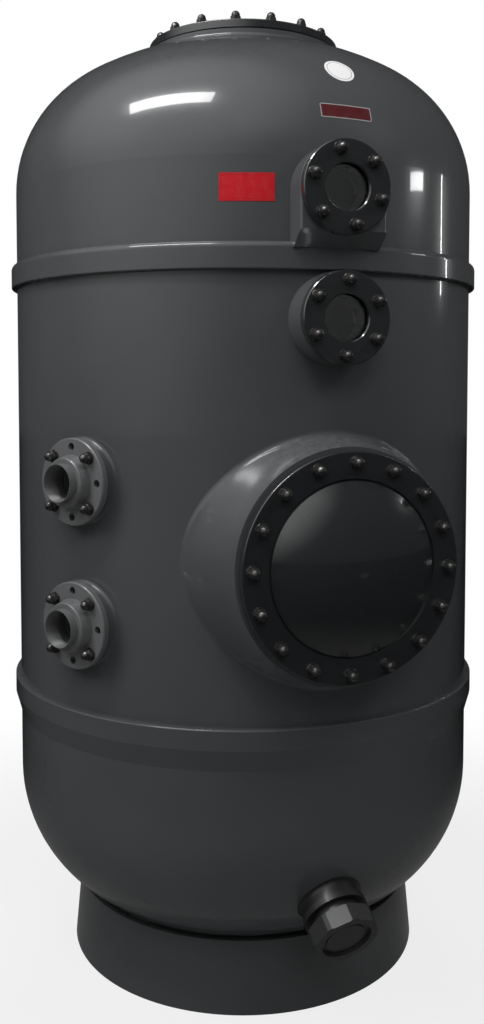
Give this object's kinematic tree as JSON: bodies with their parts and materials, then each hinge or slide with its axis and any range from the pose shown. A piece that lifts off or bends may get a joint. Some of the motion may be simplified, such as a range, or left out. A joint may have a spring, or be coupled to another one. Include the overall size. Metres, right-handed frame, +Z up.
{
  "type": "sand filter",
  "caption": "Tall laminated pool sand filter vessel on a skirt, with domed bolted manholes, sight glasses, flanged side ports and a sand drain with a union nut.",
  "frame": {"origin": "on the vessel's axis at the floor, in the plane of the skirt's foot", "axes": "+Z up the vessel's axis; -Y out through the side manhole, whose plane also holds both sight glasses; the ports are 57 degrees from it towards -X"},
  "size_m": [1.228, 1.37, 2.4603],
  "materials": {
    "gelcoat": "glossy gelcoat on glass fibre laminate",
    "lid_black": "glossy black moulding",
    "port_grey": "satin moulded pipe fitting",
    "pipe_grey": "extruded pressure pipe",
    "union_black": "satin moulded",
    "rubber": "matt",
    "bolt_steel": "dark coated steel",
    "window": "clear acrylic disc, dark behind"
  },
  "bodies": {
    "vessel": {"skirt_base": "gelcoat", "lower_shell": "gelcoat", "middle_shell": "gelcoat", "upper_shell": "gelcoat", "side_manhole_neck": "gelcoat", "side_manhole_gasket": "rubber", "top_manhole_neck": "gelcoat", "top_manhole_gasket": "rubber", "upper_sight_pad": "gelcoat", "lower_sight_boss": "gelcoat", "upper_sight_gasket": "rubber", "upper_sight_window": "window", "upper_sight_flange": "lid_black", "upper_sight_bolts": "bolt_steel", "lower_sight_gasket": "rubber", "lower_sight_window": "window", "lower_sight_flange": "lid_black", "lower_sight_bolts": "bolt_steel", "inlet_neck": "gelcoat", "inlet_gasket": "rubber", "inlet_flange": "port_grey", "inlet_bolts": "bolt_steel", "outlet_neck": "gelcoat", "outlet_gasket": "rubber", "outlet_flange": "port_grey", "outlet_bolts": "bolt_steel", "inlet_pipe": "pipe_grey", "diffuser": "pipe_grey", "outlet_pipe": "pipe_grey", "collector_hub": "pipe_grey", "collector_arms": "pipe_grey", "drain_neck": "gelcoat", "drain_seal": "rubber"},
    "side_lid": {"side_manhole_lid": "lid_black", "side_manhole_bolts": "bolt_steel"},
    "top_lid": {"top_manhole_lid": "lid_black", "top_manhole_bolts": "bolt_steel", "air_bleed_body": "union_black"},
    "bleed_screw": {"air_bleed_screw": "union_black"},
    "drain_cap": {"drain_plug": "union_black"},
    "drain_union": {"drain_nut": "union_black"}
  },
  "joints": [
    {"name": "side_lid_removal", "type": "slide", "parent": "vessel", "child": "side_lid", "axis": [0, -1, 0], "range_m": [0, 0.3]},
    {"name": "top_lid_removal", "type": "slide", "parent": "vessel", "child": "top_lid", "axis": [0, 0, 1], "range_m": [0, 0.3]},
    {"name": "bleed_turn", "type": "hinge", "parent": "top_lid", "child": "bleed_screw", "pos_m": [0, 0, 2.43704], "axis": [0, 0, 1], "range_deg": [0, 720]},
    {"name": "drain_travel", "type": "slide", "parent": "vessel", "child": "drain_cap", "axis": [0.0301, -0.8611, -0.5075], "range_m": [0, 0.018]},
    {"name": "drain_nut_turn", "type": "hinge", "parent": "drain_cap", "child": "drain_union", "pos_m": [0.02186, -0.62606, 0.25757], "axis": [0.0301, -0.8611, -0.5075], "range_deg": [0, 1080]}
  ],
  "couplings": [
    {"joint": "drain_nut_turn", "follows": "drain_travel", "rad_per_m": 1047.2}
  ]
}
